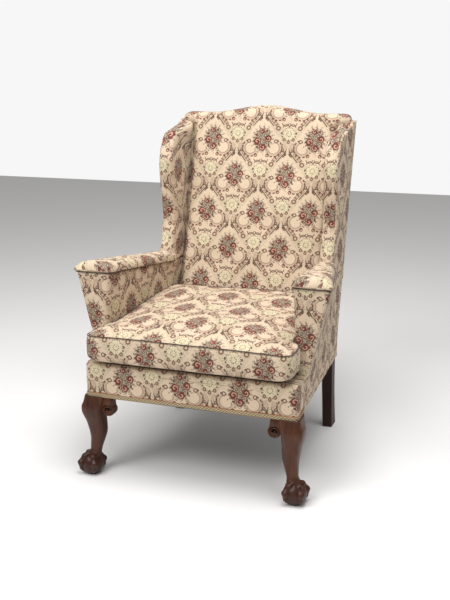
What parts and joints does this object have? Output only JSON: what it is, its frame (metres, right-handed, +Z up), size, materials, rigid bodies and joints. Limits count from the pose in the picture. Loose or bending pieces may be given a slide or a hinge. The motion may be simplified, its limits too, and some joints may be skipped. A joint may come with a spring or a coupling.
{
  "type": "wingback armchair",
  "caption": "Wing armchair with flared padded arms, serpentine crest, loose T-shaped seat cushion, carved cabriole front legs and plain raked rear legs.",
  "frame": {"origin": "on the floor under the middle of the chair's bounding box", "axes": "+Z up, -Y the way the sitter faces, +X to the right as seen from the front"},
  "size_m": [0.7722, 0.7933, 1.05],
  "materials": {
    "tapestry": "woven, matt",
    "braid": "woven, matt",
    "show_wood": "satin",
    "dark_wood": "satin",
    "frame_wood": "sawn",
    "steel": "satin",
    "webbing": "woven, matt",
    "hessian": "woven, matt",
    "stuffing": "felted"
  },
  "bodies": {
    "chair": {"arm_board_left": "frame_wood", "arm_board_right": "frame_wood", "arm_facing_left": "tapestry", "arm_facing_right": "tapestry", "arm_post_left": "frame_wood", "arm_post_right": "frame_wood", "arm_top_pad_left": "tapestry", "arm_top_pad_right": "tapestry", "back_hessian": "hessian", "back_rail": "frame_wood", "back_webbing": "webbing", "block_screws": "steel", "braid": "braid", "corner_blocks": "frame_wood", "crest_pad": "tapestry", "crest_rail": "frame_wood", "deck_cover": "hessian", "deck_pad": "stuffing", "dust_cover": "hessian", "frame_dowels": "frame_wood", "front_ear_left": "show_wood", "front_ear_right": "show_wood", "front_edge_roll": "stuffing", "front_leg_left": "show_wood", "front_leg_right": "show_wood", "front_rail": "frame_wood", "front_rail_cover": "tapestry", "inside_arm_pad_left": "tapestry", "inside_arm_pad_right": "tapestry", "inside_back_pad": "tapestry", "outside_arm_cover_left": "tapestry", "outside_arm_cover_right": "tapestry", "outside_back_cover": "tapestry", "outside_wing_cover_left": "tapestry", "outside_wing_cover_right": "tapestry", "rear_post_left": "dark_wood", "rear_post_right": "dark_wood", "seat_hessian": "hessian", "seat_springs": "steel", "side_ear_left": "show_wood", "side_ear_right": "show_wood", "side_rail_left": "frame_wood", "side_rail_right": "frame_wood", "stay_rail": "frame_wood", "tacking_rail_left": "frame_wood", "tacking_rail_right": "frame_wood", "webbing_cross": "webbing", "webbing_long": "webbing", "webbing_tacks": "steel", "wing_pad_left": "tapestry", "wing_pad_right": "tapestry", "wing_post_left": "frame_wood", "wing_post_right": "frame_wood", "wing_rail_left": "frame_wood", "wing_rail_right": "frame_wood"},
    "cushion": {"seat_cushion": "tapestry"}
  },
  "joints": [
    {"name": "cushion_lift", "type": "slide", "parent": "chair", "child": "cushion", "axis": [0, 0, 1], "range_m": [0, 0.3]}
  ]
}
